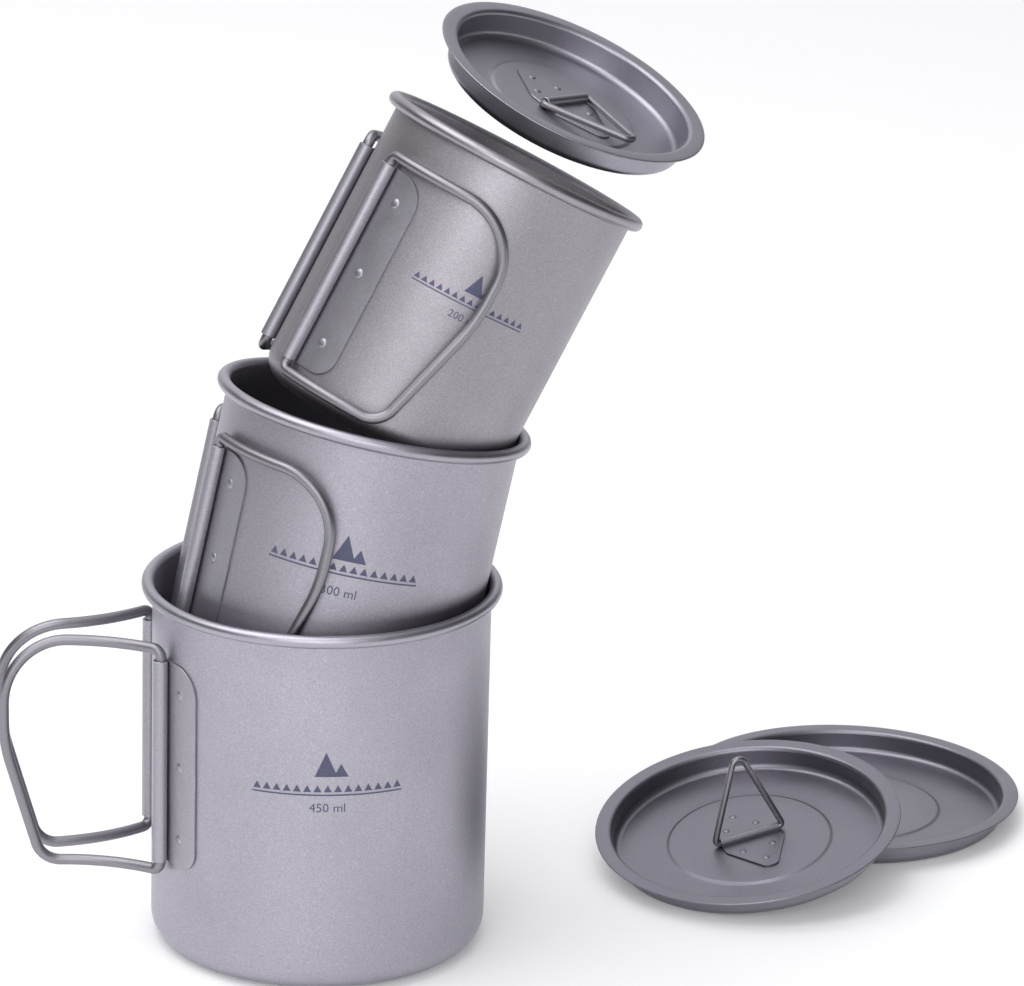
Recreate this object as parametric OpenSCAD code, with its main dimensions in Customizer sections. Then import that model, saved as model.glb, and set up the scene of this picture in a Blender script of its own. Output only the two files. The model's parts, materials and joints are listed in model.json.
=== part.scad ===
// A nesting set of three titanium camping cups, each with two folding wire handles and a drop-in lid.
// The big cup stands on the ground. The medium cup leans in its mouth, and the small cup leans in that one.
// The small lid hovers over the small cup. The big lid lies on the ground, and the medium lid leans on it.
// All sizes are in millimetres. +Z is up and the origin is the middle of the big cup's base.

/* [Cups] */
// Rim diameter of the big cup, over its rolled edge
big_rim_d = 85; // [80:0.5:100]
// Height of the big cup
big_h = 89.5; // [82:0.5:105]
// Height of the medium cup
medium_h = 81; // [76:0.5:92]
// Height of the small cup
small_h = 72; // [70:0.5:84]
// Thickness of the drawn titanium sheet of the cups and the lids
sheet = 0.4; // [0.3:0.05:0.6]
// Diameter of the rolled bead at a cup's rim
bead_d = 3; // [2.4:0.1:3.6]
// Outer radius of the corner between a cup's wall and its base
corner_r = 6; // [3:0.5:8]

/* [Handles] */
// Diameter of the handle wire
wire_d = 2.6; // [2:0.1:3]
// Height of a bracket's lower end over the base of the shortest cup
bracket_foot = 7.5; // [6.5:0.5:14]
// Distance from a cup's rim down to the top of its hinge sleeves
sleeve_drop = 14.5; // [12:0.5:18]
// Thickness of the bracket sheet
bracket_t = 0.45; // [0.4:0.05:0.6]
// Width of a bracket's plate, from the hinge pin round the wall to its free edge
bracket_w = 11.8; // [10:0.1:14]
// Half the angle between the two hinge pins of a cup
hinge_half_angle = 20; // [18:0.5:26]
// Reach of a handle loop, measured round the wall it folds against
loop_reach = 38.2; // [35:0.1:42]
// Angle that a handle swings through between folded and open
handle_swing = 148; // [120:1:150]
// Diameter of a spot weld's raised head
weld_d = 2.4; // [1.8:0.1:3]

/* [Lids] */
// How far a lid's flange is wider than its cup's rim, in diameter
flange_over = 1.2; // [0:0.1:4]
// Depth of the big and the medium lid's pan, from the top of the flange to the underside of the floor
pan_depth = 6.2; // [5:0.1:8]
// Depth of the small lid's pan
small_pan_depth = 7.2; // [5:0.1:9]
// Radial play of a lid's pan in the mouth of its cup
pan_play = 0.2; // [0.15:0.05:0.8]
// Height of the round step in the middle of a lid's floor
step_h = 0.4; // [0.2:0.05:0.8]
// Diameter of the lid's ring wire
ring_wire_d = 1.6; // [1.2:0.1:2]
// Length of a lid's triangular ring along its hinge
ring_base = 18.6; // [16:0.2:22]
// Reach of a lid's triangular ring from its hinge pin to the wire's centre at the tip
ring_reach = 21.2; // [18:0.2:23]
// Length of the clip plate that holds the ring
clip_len = 29; // [25:0.5:32]
// Width of the clip plate, which is the length of its channel
clip_w = 15.5; // [12:0.5:16]

/* [Fits] */
// Radial play of the medium cup's folded hinges inside the big cup
medium_cup_play = 0.89; // [0.5:0.01:1.5]
// Radial play of the small cup's folded hinges inside the medium cup
small_cup_play = 0.39; // [0.3:0.01:1.5]
// Radial play of a handle wire in its sleeve
sleeve_play = 0.08; // [0.05:0.01:0.1]
// Radial play of a ring's pin in the clip's channel
clip_play = 0.08; // [0.05:0.01:0.1]

/* [Hidden] */

// Smoothness of turned shapes, of small round shapes, and the sides of a swept wire
round_fn = 96;
small_fn = 32;
wire_sides = 10;

// How the tilted cups stand: how deep the middle of the base sits in the cup below, how far it is off that
// cup's middle, the lean to the right and away, and the turn of the handle pair towards the front
medium_sink = 37.7;
medium_shift = [-4.1, -1.8, 0];
medium_lean = [11.3, 4.7];
small_sink = 5.5;
small_shift = [1.06, -1.39, -0.09];
small_lean = [26.6, 9.7];
big_turn = 9.5;
medium_turn = 3.5;
small_turn = 12;

// How the lids lie: the middle of the big lid's underside, where the medium lid's lower edge meets the ground
// from there, the small lid's place over the middle of the small cup's rim, and each lean and turn
big_lid_at = [133, 87, 0];
big_lid_turn = 147;
medium_lid_foot = [-46.85, -67.07, 0.01];
medium_lid_lean = [-7.6, -9.8];
medium_lid_turn = 20;
small_lid_over = [9.63, 13.03, 8.73];
small_lid_lean = [23.2, -9.4];
small_lid_turn = 234;

// How far each lid's ring is swung up from lying flat
big_ring_up = 36;
medium_ring_up = 82;
small_ring_up = 8;

// Colours of the bare titanium
satin_grey = [0.62, 0.61, 0.65];
blasted_grey = [0.56, 0.55, 0.59];
lid_grey = [0.48, 0.47, 0.52];

// Radii that follow from the rim: the inside of the wall, and its outside
function inner_r(rim_d) = rim_d / 2 - bead_d;
function body_r(rim_d) = inner_r(rim_d) + sheet;

// Hinge sizes: the sleeve round the wire, the hinge pin's distance from the cup's axis, and the gap that keeps
// a sleeve off the wall. One length of handle serves all three cups, so the shortest cup sets it
sleeve_in_d = wire_d + 2 * sleeve_play;
sleeve_out_d = sleeve_in_d + 2 * bracket_t;
sleeve_len = min(big_h, medium_h, small_h) - sleeve_drop - bracket_foot;
wall_gap = 0.05;
function hinge_r(rim_d) = body_r(rim_d) + wall_gap + sleeve_out_d / 2;

// Rims of the cups that nest: each fits in the next one with its folded hinges
function nested_rim(outer_rim_d, play) = outer_rim_d - 2 * (sheet + wall_gap + sleeve_out_d + play);
medium_rim_d = nested_rim(big_rim_d, medium_cup_play);
small_rim_d = nested_rim(medium_rim_d, small_cup_play);

// Handle loop: the bend beside the pin, the pin's overhang past the sleeve, and the loop's corners in the
// unrolled plane, as [distance round the wall, height over the sleeve's bottom, corner radius]
bend_r = 2.2;
pin_past = 0.4;
loop_top = sleeve_len + pin_past + bend_r;
loop_bottom = -pin_past - bend_r;
loop_corners = [
    [0, loop_top, bend_r],
    [loop_reach, loop_top, 15],
    [loop_reach, 0.56 * sleeve_len, 40],
    [0.765 * loop_reach, loop_bottom, 6],
    [0, loop_bottom, bend_r]];

// Bracket plate: its corner radii at the top and the bottom, and how far along the plate the welds sit
bracket_top_r = 7;
bracket_bottom_r = 5;
weld_along = 6.2;
weld_pitch = 18;
weld_head_h = 0.35;

// Lid: the floor's corner radius, the step's place as a part of the flange, and its slope's width
pan_corner_r = 2;
step_part = 0.52;
step_slope = 1.2;

// Clip: half-width at the shoulders and at the tip, its welds as [across, along], and the channel's radii
clip_shoulder = 4;
clip_tip = 1.6;
clip_t = 0.4;
clip_weld_d = 1.8;
clip_weld_h = 0.25;
clip_weld_spots = [[-4, 5.4], [4, 5.4], [0, 10.6]];
channel_in_r = ring_wire_d / 2 + clip_play;
channel_out_r = channel_in_r + clip_t;
ring_corner_r = 1;
ring_tip_r = 1.8;

// ---- Wire sweeps ----

// Unit vector from a to b
function toward(a, b) = (b - a) / norm(b - a);

// Points of one rounded corner at b, between a and c, with radius r and n steps
function corner_points(a, b, c, r, n) =
    let (u = toward(b, a), v = toward(b, c), half = acos(u * v) / 2,
         centre = b + r / sin(half) * toward([0, 0], u + v),
         p = b + r / tan(half) * u, q = b + r / tan(half) * v,
         from = atan2(p[1] - centre[1], p[0] - centre[0]),
         raw = atan2(q[1] - centre[1], q[0] - centre[0]) - from,
         turn = raw > 180 ? raw - 360 : raw < -180 ? raw + 360 : raw)
    [for (i = [0 : n]) centre + r * [cos(from + turn * i / n), sin(from + turn * i / n)]];

// Points between two ends, without the ends, no further apart than step
function between(a, b, step) =
    let (n = ceil(norm(b - a) / step))
    [for (i = [1 : 1 : n - 1]) a + (b - a) * i / n];

// A rounded open path through corners of [x, y, radius], with n steps a corner and filled in along its sides
function rounded_path(corners, n, step) =
    let (last = len(corners) - 1, xy = [for (c = corners) [c[0], c[1]]],
         arcs = [for (i = [1 : last - 1]) corner_points(xy[i - 1], xy[i], xy[i + 1], corners[i][2], n)])
    [for (i = [0 : len(arcs) - 1]) each concat(
        between(i == 0 ? xy[0] : arcs[i - 1][n], arcs[i][0], step),
        arcs[i])];

// Ring of points round one place of a wire: across and out are unit vectors square to the wire
function wire_ring(at, across, out, r) =
    [for (k = [0 : wire_sides - 1]) at + r * (cos(360 * k / wire_sides) * across + sin(360 * k / wire_sides) * out)];

// Closed solid through a list of point rings, each with wire_sides points
module skin(rings) {
    n = wire_sides;
    last = len(rings) - 1;
    polyhedron(
        points = [for (r = rings) each r],
        faces = concat(
            [[for (k = [0 : n - 1]) k]],
            [for (i = [0 : last - 1], k = [0 : n - 1])
                [i * n + k, (i + 1) * n + k, (i + 1) * n + (k + 1) % n]],
            [for (i = [0 : last - 1], k = [0 : n - 1])
                [i * n + k, (i + 1) * n + (k + 1) % n, i * n + (k + 1) % n]],
            [[for (k = [n - 1 : -1 : 0]) last * n + k]]),
        convexity = 6);
}

// ---- Cups ----

// Section of a cup: a flat base, a rounded corner, a straight wall and a rim rolled outwards
module cup_section(rim_d, h) {
    ri = inner_r(rim_d);
    ro = body_r(rim_d);
    rb = bead_d / 2;
    difference() {
        union() {
            square([ro - corner_r, sheet]);
            translate([ro - corner_r, corner_r]) intersection() {
                circle(r = corner_r, $fn = round_fn);
                translate([0, -corner_r]) square(corner_r);
            }
            translate([ri, corner_r]) square([sheet, h - corner_r - rb]);
            translate([ri + rb, h - rb]) circle(r = rb, $fn = small_fn);
        }
        translate([ro - corner_r, corner_r]) circle(r = corner_r - sheet, $fn = round_fn);
        translate([ri + rb, h - rb]) circle(r = rb - sheet, $fn = small_fn);
        translate([ro, h - bead_d]) square([0.35 * rb, 0.8 * rb]);
    }
}

module cup_shell(rim_d, h) {
    color(blasted_grey) rotate_extrude($fn = round_fn) cup_section(rim_d, h);
}

// Moves children to the hinge of one side: side is 1 for the front handle and -1 for the back one
module at_hinge(rim_d, h, side) {
    rotate([0, 0, 180 + side * hinge_half_angle])
        translate([hinge_r(rim_d), 0, h - sleeve_drop - sleeve_len])
            children();
}

// Unrolled outline of a bracket's plate, from the hinge pin out to the free edge, with round free corners
module plate_outline() {
    hull() {
        square([1, sleeve_len]);
        translate([bracket_w - bracket_top_r, sleeve_len - bracket_top_r]) circle(r = bracket_top_r, $fn = small_fn);
        translate([bracket_w - bracket_bottom_r, bracket_bottom_r]) circle(r = bracket_bottom_r, $fn = small_fn);
    }
}

// Places children at each of a bracket's three welds, with +X out of the wall
module at_welds(rim_d, side) {
    r = body_r(rim_d);
    for (i = [-1 : 1])
        translate([-hinge_r(rim_d), 0, 0]) rotate([0, 0, side * weld_along / r * 180 / PI])
            translate([r, 0, sleeve_len / 2 + i * weld_pitch]) rotate([0, 90, 0])
                children();
}

// One bracket: a sheet plate that hugs the wall and rolls round the handle wire along one edge
module bracket(rim_d, h, side) {
    r = body_r(rim_d);
    color(satin_grey) at_hinge(rim_d, h, side) difference() {
        union() {
            cylinder(d = sleeve_out_d, h = sleeve_len, $fn = small_fn);
            intersection() {
                translate([-hinge_r(rim_d), 0, 0]) difference() {
                    cylinder(r = r + wall_gap + bracket_t, h = sleeve_len, $fn = round_fn);
                    translate([0, 0, -1]) cylinder(r = r + wall_gap, h = sleeve_len + 2, $fn = round_fn);
                }
                rotate([90, 0, 90]) translate([0, 0, -r / 2]) scale([side, 1, 1]) linear_extrude(r) plate_outline();
            }
        }
        translate([0, 0, -1]) cylinder(d = sleeve_in_d, h = sleeve_len + 2, $fn = small_fn);
        at_welds(rim_d, side) cylinder(d = weld_d, h = 2, $fn = small_fn);
    }
}

// A bracket's three spot welds, each a low round button through the plate
module bracket_welds(rim_d, h, side) {
    color(satin_grey) at_hinge(rim_d, h, side) at_welds(rim_d, side)
        cylinder(d1 = weld_d, d2 = 0.7 * weld_d, h = wall_gap + bracket_t + weld_head_h, $fn = small_fn);
}

// A wire loop on the cylinder that the handle wraps when folded, seen from its hinge
module handle_loop(rim_d, side) {
    r = hinge_r(rim_d);
    path = rounded_path(concat([[0, loop_top - bend_r - 1, 0]], loop_corners, [[0, loop_bottom + bend_r + 1, 0]]), 6, 6);
    rings = [for (i = [0 : len(path) - 1])
        let (p = path[i], a = side * p[0] / r * 180 / PI,
             t = toward(path[max(i - 1, 0)], path[min(i + 1, len(path) - 1)]),
             out = [cos(a), sin(a), 0], round = side * [-sin(a), cos(a), 0],
             across = t[1] * round - t[0] * [0, 0, 1])
        wire_ring([r * cos(a) - r, r * sin(a), p[1]], across, out, wire_d / 2)];
    skin(side < 0 ? rings : [for (i = [len(rings) - 1 : -1 : 0]) rings[i]]);
}

// One handle: a straight hinge pin inside the sleeve and a bent loop, swung from folded by an angle
module handle(rim_d, h, side, swing) {
    color(satin_grey) at_hinge(rim_d, h, side) rotate([0, 0, -side * swing]) {
        translate([0, 0, -pin_past]) cylinder(d = wire_d, h = sleeve_len + 2 * pin_past, $fn = small_fn);
        handle_loop(rim_d, side);
    }
}

// ---- Lids ----

function flange_r(rim_d) = (rim_d + flange_over) / 2;
function pan_r(rim_d) = inner_r(rim_d) - pan_play;

// Section of a lid: a floor with a shallow round step, a wall and a flat flange
module lid_section(rim_d, depth) {
    rf = flange_r(rim_d);
    rp = pan_r(rim_d);
    rs = step_part * rf;
    difference() {
        union() {
            polygon([
                [0, step_h], [rs, step_h], [rs + step_slope, 0], [rp - pan_corner_r, 0],
                [rp - pan_corner_r, sheet], [rs + step_slope, sheet], [rs, step_h + sheet], [0, step_h + sheet]]);
            translate([rp - pan_corner_r, pan_corner_r]) intersection() {
                circle(r = pan_corner_r, $fn = small_fn);
                translate([0, -pan_corner_r]) square(pan_corner_r);
            }
            translate([rp - sheet, pan_corner_r]) square([sheet, depth - pan_corner_r]);
            translate([rp - sheet, depth - sheet]) square([rf - rp + sheet, sheet]);
        }
        translate([rp - pan_corner_r, pan_corner_r]) circle(r = pan_corner_r - sheet, $fn = small_fn);
    }
}

module lid_pan(rim_d, depth) {
    color(lid_grey) rotate_extrude($fn = round_fn) lid_section(rim_d, depth);
}

// Places children at the clip's welds, on both sides of the channel
module at_clip_welds() {
    for (side = [-1, 1], p = clip_weld_spots)
        translate([p[0], side * p[1], 0]) children();
}

// Clip: a long six-sided plate with a half-round channel across its middle for the ring's pin
module lid_clip() {
    color(lid_grey) translate([0, 0, step_h + sheet]) difference() {
        union() {
            linear_extrude(clip_t) polygon([
                for (s = [[1, 1], [-1, 1], [-1, -1], [1, -1]])
                    each (s[0] * s[1] > 0
                        ? [[s[0] * clip_w / 2, s[1] * clip_shoulder], [s[0] * clip_tip, s[1] * clip_len / 2]]
                        : [[s[0] * clip_tip, s[1] * clip_len / 2], [s[0] * clip_w / 2, s[1] * clip_shoulder]])]);
            translate([0, 0, channel_in_r]) rotate([0, 90, 0])
                cylinder(r = channel_out_r, h = clip_w, center = true, $fn = small_fn);
            translate([-clip_w / 2, -channel_out_r, 0]) cube([clip_w, 2 * channel_out_r, channel_in_r]);
        }
        translate([0, 0, channel_in_r]) rotate([0, 90, 0])
            cylinder(r = channel_in_r, h = clip_w + 2, center = true, $fn = small_fn);
        translate([-clip_w / 2 - 1, -channel_in_r, -1]) cube([clip_w + 2, 2 * channel_in_r, channel_in_r + 1]);
        translate([-clip_w, -clip_len, -2]) cube([2 * clip_w, 2 * clip_len, 2]);
        at_clip_welds() cylinder(d = clip_weld_d, h = 2, $fn = small_fn);
    }
}

module lid_clip_welds() {
    color(lid_grey) translate([0, 0, step_h + sheet]) at_clip_welds()
        cylinder(d1 = clip_weld_d, d2 = 0.7 * clip_weld_d, h = clip_t + clip_weld_h, $fn = small_fn);
}

// Ring: a triangle of wire with round corners, its straight base turning in the clip's channel
module lid_ring(up) {
    b = ring_base / 2;
    flat = clip_w / 2;
    peak = ring_reach + ring_tip_r * (1 / sin(atan(b / ring_reach)) - 1);
    corners = [[flat, 0, 0], [b, 0, ring_corner_r], [0, peak, ring_tip_r], [-b, 0, ring_corner_r], [-flat, 0, 0]];
    path = rounded_path(corners, 5, 8);
    ends = concat([[flat - 0.5, 0]], path, [[0.5 - flat, 0]]);
    rings = [for (i = [0 : len(ends) - 1])
        let (t = toward(ends[max(i - 1, 0)], ends[min(i + 1, len(ends) - 1)]))
        wire_ring([ends[i][0], ends[i][1], 0], [-t[1], t[0], 0], [0, 0, 1], ring_wire_d / 2)];
    color(satin_grey) translate([0, 0, step_h + sheet + channel_in_r]) rotate([up, 0, 0]) {
        rotate([0, 90, 0]) cylinder(d = ring_wire_d, h = clip_w, center = true, $fn = small_fn);
        skin(rings);
    }
}

// ---- Places ----

// Direction of a leaning piece's axis, and its matrix row that gives a point's height
function axis_of(lean) = [cos(lean[1]) * sin(lean[0]), sin(lean[1]), cos(lean[1]) * cos(lean[0])];
function height_row(lean) = [-sin(lean[0]), -cos(lean[0]) * sin(lean[1]), cos(lean[0]) * cos(lean[1])];

medium_at = [0, 0, big_h - medium_sink] + medium_shift;
small_at = medium_at + (medium_h - small_sink) * axis_of(medium_lean) + small_shift;
small_lid_at = small_at + small_h * axis_of(small_lean) + small_lid_over;

module place_big() { rotate([0, 0, big_turn]) children(); }

module place_leaning(at, lean, turn) {
    translate(at) rotate([-lean[1], lean[0], 0]) rotate([0, 0, turn]) children();
}

// Stands a lid on the round corner at the low side of its pan, with that side at a point on the ground
module place_propped(foot, lean, turn, corner_circle_r) {
    row = height_row(lean);
    downhill = -toward([0, 0], [row[0], row[1]]);
    translate(foot + [0, 0, pan_corner_r]) rotate([-lean[1], lean[0], 0])
        translate([-corner_circle_r * downhill[0], -corner_circle_r * downhill[1], -pan_corner_r])
            rotate([0, 0, turn]) children();
}

module place_medium() { place_leaning(medium_at, medium_lean, medium_turn) children(); }
module place_small() { place_leaning(small_at, small_lean, small_turn) children(); }
module place_big_lid() { place_leaning(big_lid_at, [0, 0], big_lid_turn) children(); }
module place_medium_lid() {
    circle_r = pan_r(medium_rim_d) - pan_corner_r;
    place_propped(big_lid_at + medium_lid_foot, medium_lid_lean, medium_lid_turn, circle_r) children();
}
module place_small_lid() { place_leaning(small_lid_at, small_lid_lean, small_lid_turn) children(); }

// ---- Nodes ----

module big_cup() { place_big() cup_shell(big_rim_d, big_h); }
module big_front_bracket() { place_big() bracket(big_rim_d, big_h, 1); }
module big_front_bracket_welds() { place_big() bracket_welds(big_rim_d, big_h, 1); }
module big_back_bracket() { place_big() bracket(big_rim_d, big_h, -1); }
module big_back_bracket_welds() { place_big() bracket_welds(big_rim_d, big_h, -1); }
module big_front_handle() { place_big() handle(big_rim_d, big_h, 1, handle_swing); }
module big_back_handle() { place_big() handle(big_rim_d, big_h, -1, handle_swing); }

module medium_cup() { place_medium() cup_shell(medium_rim_d, medium_h); }
module medium_front_bracket() { place_medium() bracket(medium_rim_d, medium_h, 1); }
module medium_front_bracket_welds() { place_medium() bracket_welds(medium_rim_d, medium_h, 1); }
module medium_back_bracket() { place_medium() bracket(medium_rim_d, medium_h, -1); }
module medium_back_bracket_welds() { place_medium() bracket_welds(medium_rim_d, medium_h, -1); }
module medium_front_handle() { place_medium() handle(medium_rim_d, medium_h, 1, 0); }
module medium_back_handle() { place_medium() handle(medium_rim_d, medium_h, -1, 0); }

module small_cup() { place_small() cup_shell(small_rim_d, small_h); }
module small_front_bracket() { place_small() bracket(small_rim_d, small_h, 1); }
module small_front_bracket_welds() { place_small() bracket_welds(small_rim_d, small_h, 1); }
module small_back_bracket() { place_small() bracket(small_rim_d, small_h, -1); }
module small_back_bracket_welds() { place_small() bracket_welds(small_rim_d, small_h, -1); }
module small_front_handle() { place_small() handle(small_rim_d, small_h, 1, 0); }
module small_back_handle() { place_small() handle(small_rim_d, small_h, -1, 0); }

module big_lid() { place_big_lid() lid_pan(big_rim_d, pan_depth); }
module big_lid_clip() { place_big_lid() lid_clip(); }
module big_lid_clip_welds() { place_big_lid() lid_clip_welds(); }
module big_lid_ring() { place_big_lid() lid_ring(big_ring_up); }

module medium_lid() { place_medium_lid() lid_pan(medium_rim_d, pan_depth); }
module medium_lid_clip() { place_medium_lid() lid_clip(); }
module medium_lid_clip_welds() { place_medium_lid() lid_clip_welds(); }
module medium_lid_ring() { place_medium_lid() lid_ring(medium_ring_up); }

module small_lid() { place_small_lid() lid_pan(small_rim_d, small_pan_depth); }
module small_lid_clip() { place_small_lid() lid_clip(); }
module small_lid_clip_welds() { place_small_lid() lid_clip_welds(); }
module small_lid_ring() { place_small_lid() lid_ring(small_ring_up); }

big_cup();
big_front_bracket();
big_front_bracket_welds();
big_back_bracket();
big_back_bracket_welds();
big_front_handle();
big_back_handle();
medium_cup();
medium_front_bracket();
medium_front_bracket_welds();
medium_back_bracket();
medium_back_bracket_welds();
medium_front_handle();
medium_back_handle();
small_cup();
small_front_bracket();
small_front_bracket_welds();
small_back_bracket();
small_back_bracket_welds();
small_front_handle();
small_back_handle();
big_lid();
big_lid_clip();
big_lid_clip_welds();
big_lid_ring();
medium_lid();
medium_lid_clip();
medium_lid_clip_welds();
medium_lid_ring();
small_lid();
small_lid_clip();
small_lid_clip_welds();
small_lid_ring();
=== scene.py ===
# A nesting set of three titanium camping cups with folding wire handles and drop-in lids.
# The sections follow the set as it is put together: the studio, the cups and the marks printed on them,
# the hinge brackets and their spot welds, the wire handles, then the lids, their clips and their rings.
# All sizes are in metres.
import json

import bmesh
import bpy
import numpy as np
from mathutils import Matrix, Vector

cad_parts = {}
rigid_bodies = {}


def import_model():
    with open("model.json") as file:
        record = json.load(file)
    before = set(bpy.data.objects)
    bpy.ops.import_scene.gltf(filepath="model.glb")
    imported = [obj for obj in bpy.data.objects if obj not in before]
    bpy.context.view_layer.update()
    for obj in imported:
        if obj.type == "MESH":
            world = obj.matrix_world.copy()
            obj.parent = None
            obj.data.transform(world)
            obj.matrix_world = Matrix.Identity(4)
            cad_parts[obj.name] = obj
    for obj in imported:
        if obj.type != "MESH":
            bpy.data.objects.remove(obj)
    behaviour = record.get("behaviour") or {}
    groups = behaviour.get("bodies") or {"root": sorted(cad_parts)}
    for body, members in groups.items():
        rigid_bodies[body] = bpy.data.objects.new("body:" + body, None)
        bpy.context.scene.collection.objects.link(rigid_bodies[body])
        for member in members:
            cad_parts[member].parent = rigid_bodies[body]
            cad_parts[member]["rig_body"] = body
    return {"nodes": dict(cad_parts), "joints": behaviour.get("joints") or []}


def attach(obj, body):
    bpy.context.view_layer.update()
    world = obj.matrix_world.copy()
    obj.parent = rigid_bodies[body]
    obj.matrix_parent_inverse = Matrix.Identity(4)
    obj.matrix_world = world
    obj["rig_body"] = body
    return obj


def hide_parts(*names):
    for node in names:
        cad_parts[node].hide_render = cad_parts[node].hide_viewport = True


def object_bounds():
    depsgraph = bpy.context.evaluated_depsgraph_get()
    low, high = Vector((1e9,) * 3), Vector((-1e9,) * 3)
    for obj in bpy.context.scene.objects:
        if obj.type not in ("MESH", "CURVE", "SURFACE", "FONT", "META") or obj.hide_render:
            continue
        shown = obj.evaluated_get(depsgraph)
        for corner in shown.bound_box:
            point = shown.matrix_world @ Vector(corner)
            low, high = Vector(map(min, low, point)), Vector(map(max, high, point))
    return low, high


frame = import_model()
cad_low, cad_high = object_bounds()


# ---- Studio ----
# A long-lens camera looks down on the set a little from the front. The set stands on a pale floor that runs
# past every edge of the view, with one wide soft light high on the left and another above the camera.

camera_data = bpy.data.cameras.new("camera")
camera_data.sensor_width = 36
camera_data.lens = 174.34
camera_data.clip_end = 20
camera = bpy.data.objects.new("camera", camera_data)
camera_at = (0.0440, -1.1004, 0.4765)
camera_pitch = np.radians(18.35)
camera_roll = np.radians(1.59)
ahead = np.array([0, np.cos(camera_pitch), -np.sin(camera_pitch)])
level = np.array([1.0, 0, 0])
upright = np.cross(level, ahead)
camera_right = np.cos(camera_roll) * level + np.sin(camera_roll) * upright
camera_up = np.cos(camera_roll) * upright - np.sin(camera_roll) * level
camera.matrix_world = (
    Matrix.Translation(camera_at)
    @ Matrix(np.stack([camera_right, camera_up, -ahead], 1).tolist()).to_4x4()
)
bpy.context.scene.collection.objects.link(camera)
bpy.context.scene.camera = camera
bpy.context.scene.view_settings.view_transform = "Standard"

floor_half = 6.0
floor_gap = 0.0002
floor_z = cad_low.z - floor_gap
floor_mesh = bpy.data.meshes.new("floor")
floor_mesh.from_pydata(
    [(x, y, floor_z) for x, y in ((-floor_half, -floor_half), (floor_half, -floor_half),
                                  (floor_half, floor_half), (-floor_half, floor_half))],
    [],
    [(0, 1, 2, 3)],
)
floor = bpy.data.objects.new("floor", floor_mesh)
bpy.context.scene.collection.objects.link(floor)
floor_paint = bpy.data.materials.new("pale floor")
floor_paint.use_nodes = True
floor_shader = floor_paint.node_tree.nodes["Principled BSDF"]
floor_shader.inputs["Base Color"].default_value = (0.9, 0.9, 0.91, 1)
floor_shader.inputs["Roughness"].default_value = 0.9
floor_shader.inputs["Emission Color"].default_value = (1, 1, 1, 1)
floor_shader.inputs["Emission Strength"].default_value = 0.14
floor_mesh.materials.append(floor_paint)


def softbox(name, at, aim, size, watts):
    """Square area light at one point, turned so that it shines on another."""
    data = bpy.data.lights.new(name, "AREA")
    data.size = size
    data.energy = watts
    light = bpy.data.objects.new(name, data)
    light.location = at
    light.rotation_euler = (Vector(aim) - Vector(at)).to_track_quat("-Z", "Y").to_euler()
    bpy.context.scene.collection.objects.link(light)
    return light


overhead = softbox("overhead softbox", (-0.6, -0.1, 1.65), (0.03, 0.03, 0.1), 1.6, 18)
front = softbox("front softbox", (-0.1, -2.3, 1.3), (0.05, 0, 0.1), 1.8, 19)

# The room is bright in front and behind and dim at both sides, a little darker on the right, so that the
# cups' walls look round.
room = bpy.data.worlds.new("room")
room.use_nodes = True
room_nodes = room.node_tree.nodes
room_links = room.node_tree.links
room_way = room_nodes.new("ShaderNodeTexCoord")
room_axes = room_nodes.new("ShaderNodeSeparateXYZ")
room_lean = room_nodes.new("ShaderNodeMath")
room_lean.operation = "ADD"
room_lean.inputs[1].default_value = 0.1
room_side = room_nodes.new("ShaderNodeMath")
room_side.operation = "ABSOLUTE"
room_fade = room_nodes.new("ShaderNodeMapRange")
room_fade.interpolation_type = "SMOOTHSTEP"
room_fade.inputs["From Min"].default_value = 0.1
room_fade.inputs["From Max"].default_value = 0.95
room_fade.inputs["To Min"].default_value = 0.95
room_fade.inputs["To Max"].default_value = 0.07
room_links.new(room_way.outputs["Generated"], room_axes.inputs[0])
room_links.new(room_axes.outputs["X"], room_lean.inputs[0])
room_links.new(room_lean.outputs[0], room_side.inputs[0])
room_links.new(room_side.outputs[0], room_fade.inputs["Value"])
room_links.new(room_fade.outputs[0], room_nodes["Background"].inputs["Strength"])
room_nodes["Background"].inputs["Color"].default_value = (0.97, 0.975, 1.0, 1)
bpy.context.scene.world = room


# ---- Cups ----
# Three straight cups, each deep-drawn from one titanium sheet and bead-blasted to a fine matt grain.
# The base turns into the wall through a soft corner, and the rim is rolled outwards into a hollow bead.

sheet = 0.0004
bead_r = 0.0015
base_corner_r = 0.006


def arc(centre_r, centre_z, radius, start, end, steps):
    """Points centre + radius (cos a, sin a), with a running evenly from start to end in degrees."""
    a = np.radians(np.linspace(start, end, steps + 1))
    return np.stack([centre_r + radius * np.cos(a), centre_z + radius * np.sin(a)], 1)


def straight(start, end, steps):
    """Points evenly along the line between two points, without the ends."""
    part = np.linspace(0, 1, steps + 1)[1:-1, None]
    return np.array(start) * (1 - part) + np.array(end) * part


def turned(profile, sides=192):
    """Surface of revolution: point (r, z) of the profile goes to (r cos t, r sin t, z) for t all round."""
    t = np.linspace(0, 2 * np.pi, sides, endpoint=False)
    r, z = profile.T
    return np.stack([np.outer(r, np.cos(t)), np.outer(r, np.sin(t)), np.repeat(z[:, None], sides, 1)], 2)


def grid_faces(rows, columns, closed_rows, closed_columns, first):
    """Quads of a grid of points: cell (i, j) joins (i, j), (i + 1, j), (i + 1, j + 1) and (i, j + 1)."""
    i, j = np.meshgrid(
        np.arange(rows if closed_rows else rows - 1),
        np.arange(columns if closed_columns else columns - 1),
        indexing="ij",
    )
    i, j = i.ravel(), j.ravel()
    after_i, after_j = (i + 1) % rows, (j + 1) % columns
    corners = [i * columns + j, after_i * columns + j, after_i * columns + after_j, i * columns + after_j]
    return first + np.stack(corners, 1)


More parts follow.
